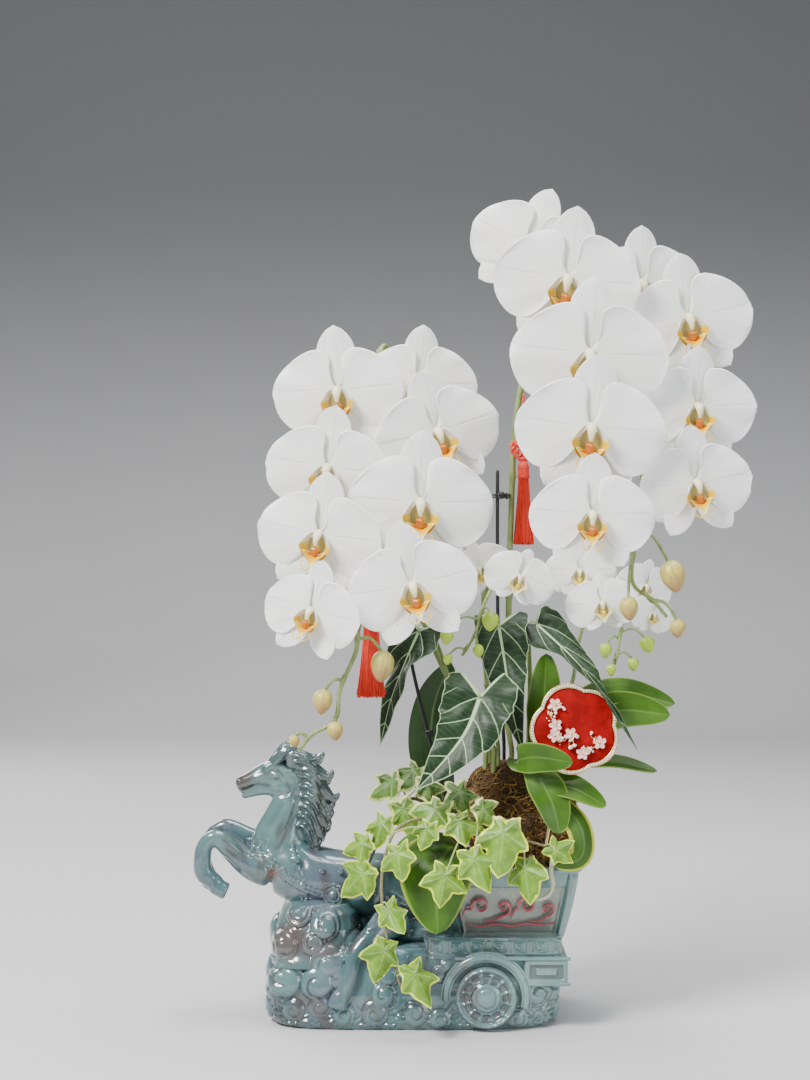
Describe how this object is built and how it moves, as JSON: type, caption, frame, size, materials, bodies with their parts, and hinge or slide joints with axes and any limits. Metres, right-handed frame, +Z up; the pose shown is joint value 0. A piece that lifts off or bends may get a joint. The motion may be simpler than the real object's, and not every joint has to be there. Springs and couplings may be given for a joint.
{
  "type": "potted moth orchid",
  "caption": "Moth orchids on arching spikes with smaller blooms, arrow-shaped leaves and variegated ivy, in a glazed horse-and-cart planter with red tassels and a red plaque.",
  "frame": {"origin": "middle of the planter's flat foot, on the surface it stands on", "axes": "+Z up, +X from the horse towards the cart, so the front of the arrangement faces -Y"},
  "size_m": [0.4471, 0.1741, 0.6599],
  "materials": {
    "glaze": "glossy blue-green flambe glaze, browner in the hollows",
    "potting_soil": "dark bark mix",
    "coir": "brown coir fibre with moss",
    "petal": "white petals with a yellow lip",
    "spike": "olive green stalks and buds",
    "mini_spike": "lime green stalks and buds",
    "strap_leaf": "glossy mid-green leaves",
    "arrow_leaf": "dark glossy green with pale veins",
    "ivy": "green with cream edges",
    "aerial_root": "pale silvery green",
    "stake": "black coated wire",
    "clip": "black",
    "tassel": "glossy red thread",
    "velvet": "deep red velvet",
    "gilt": "polished gilt with a pearly bead edge",
    "pearl": "pearls with gold and pink blossoms"
  },
  "bodies": {
    "root": {"horse_cart_planter": "glaze", "potting_soil": "potting_soil", "root_ball": "coir", "bloom_left_1": "petal", "bloom_left_2": "petal", "bloom_left_3": "petal", "bloom_left_4": "petal", "bloom_left_5": "petal", "bloom_left_6": "petal", "bloom_left_7": "petal", "bloom_left_8": "petal", "bloom_right_1": "petal", "bloom_right_2": "petal", "bloom_right_3": "petal", "bloom_right_4": "petal", "bloom_right_5": "petal", "bloom_right_6": "petal", "bloom_right_7": "petal", "bloom_right_8": "petal", "bloom_right_9": "petal", "mini_bloom_left_1": "petal", "mini_bloom_left_2": "petal", "mini_bloom_right_1": "petal", "mini_bloom_right_2": "petal", "mini_bloom_right_3": "petal", "mini_bloom_right_4": "petal", "flower_spike_left": "spike", "flower_spike_right": "spike", "mini_spike_left": "mini_spike", "mini_spike_right": "mini_spike", "orchid_leaves_right": "strap_leaf", "orchid_leaves_left": "strap_leaf", "arrow_leaf_front": "arrow_leaf", "arrow_leaf_middle": "arrow_leaf", "arrow_leaf_right": "arrow_leaf", "arrow_leaf_left": "arrow_leaf", "back_leaf_left": "arrow_leaf", "ivy_vine_left": "ivy", "ivy_vine_right": "ivy", "ivy_vine_trailing": "ivy", "aerial_root": "aerial_root", "stake_left": "stake", "stake_right": "stake", "clip_left": "clip", "clip_right": "clip", "tassel_cord_right": "tassel", "tassel_knot_right": "tassel", "tassel_right": "tassel", "tassel_cord_left": "tassel", "tassel_knot_left": "tassel", "tassel_left": "tassel", "plaque_plate": "velvet", "plaque_frame": "gilt", "plaque_pick": "gilt", "plaque_spray_1": "pearl", "plaque_spray_2": "pearl", "plaque_spray_3": "pearl"}
  },
  "joints": []
}
